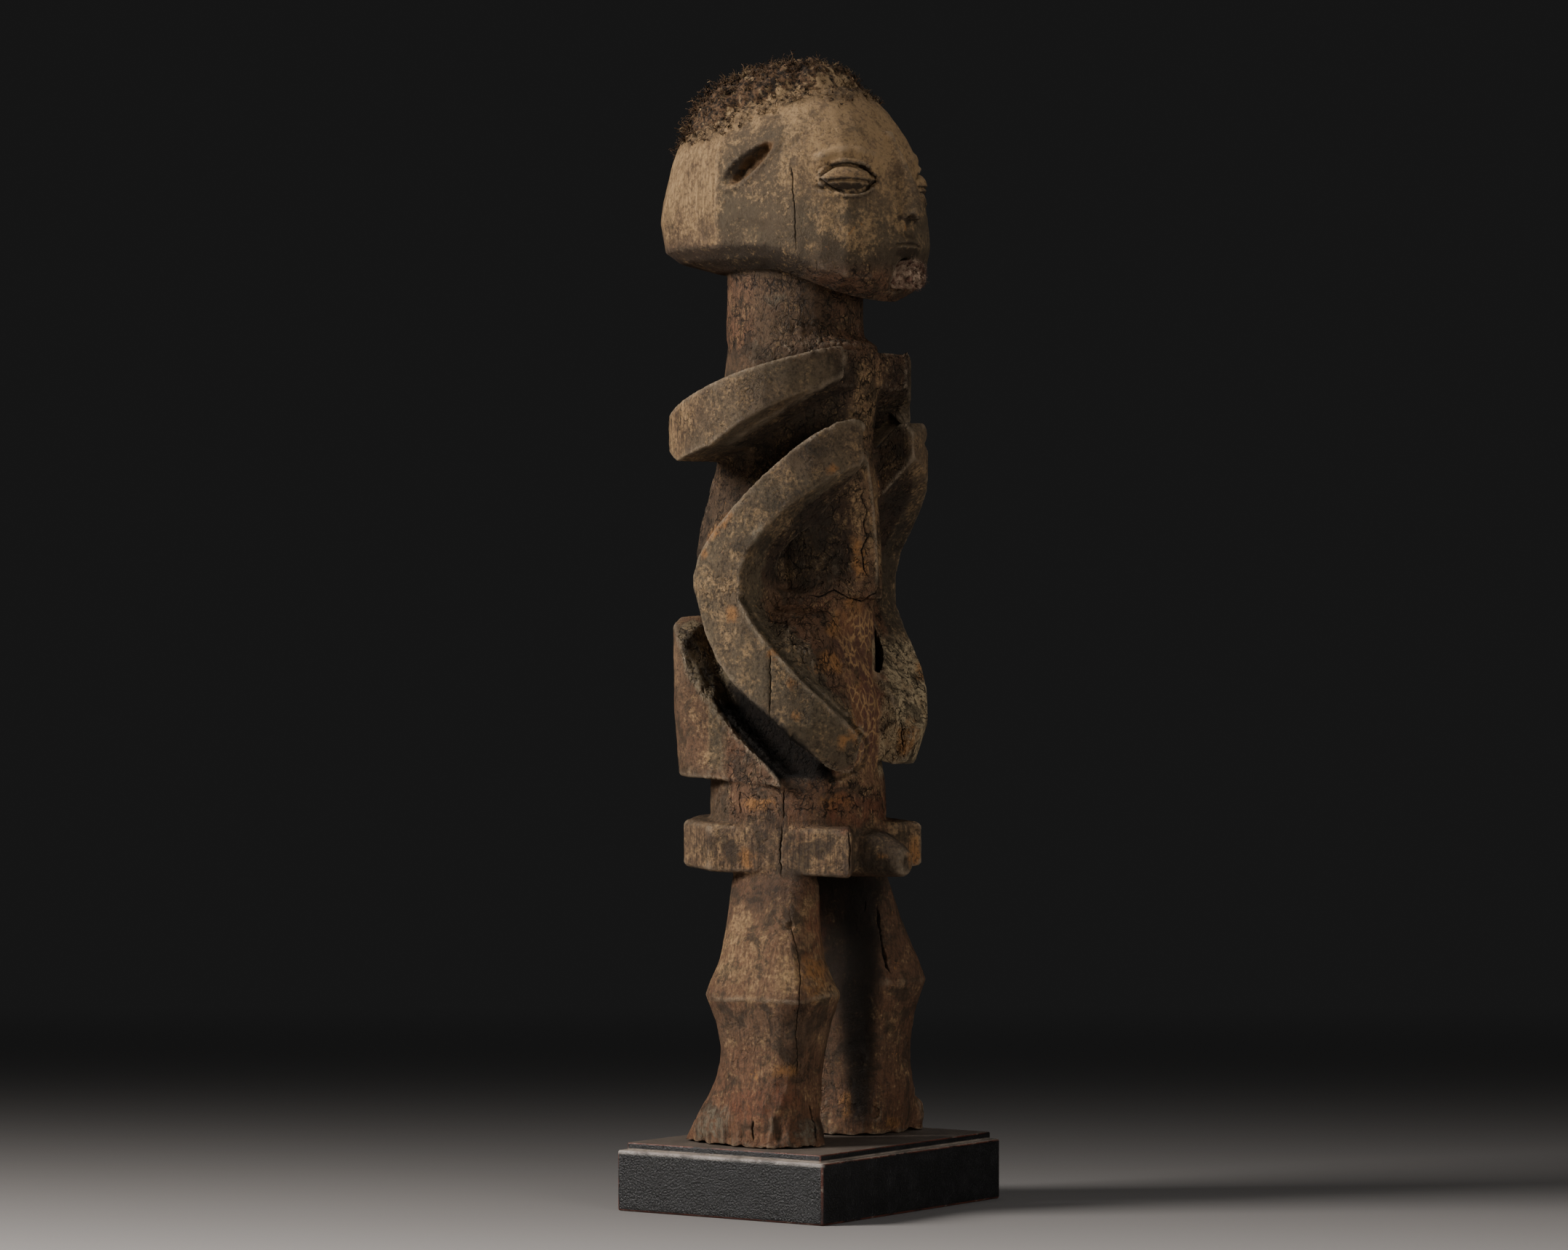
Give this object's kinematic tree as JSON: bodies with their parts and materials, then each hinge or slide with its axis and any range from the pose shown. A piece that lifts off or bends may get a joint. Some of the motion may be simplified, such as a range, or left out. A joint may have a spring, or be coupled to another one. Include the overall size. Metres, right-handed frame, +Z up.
{
  "type": "ancestor figure",
  "caption": "Standing carved wooden ancestor figure with zigzag arms, ringed hips, fibre hair cap and chin plug, on a low stepped block",
  "frame": {"origin": "centre of the block's underside, where it stands on a shelf", "axes": "+Z up the figure, the figure faces -Y, its right hand is on -X"},
  "size_m": [0.168, 0.154, 0.61],
  "materials": {
    "carved_wood": "old hardwood with a dull brown patina, ochre wear, drying cracks and polished edges",
    "hair_fibre": "matted dark plant fibre with pale dust",
    "beard_fibre": "bundle of cut fibre, pale ends",
    "black_block": "black lacquer with a fine leathery grain and worn red-brown edges"
  },
  "bodies": {
    "root": {"figure": "carved_wood", "hair_cap": "hair_fibre", "beard_plug": "beard_fibre", "plinth": "black_block"}
  },
  "joints": []
}
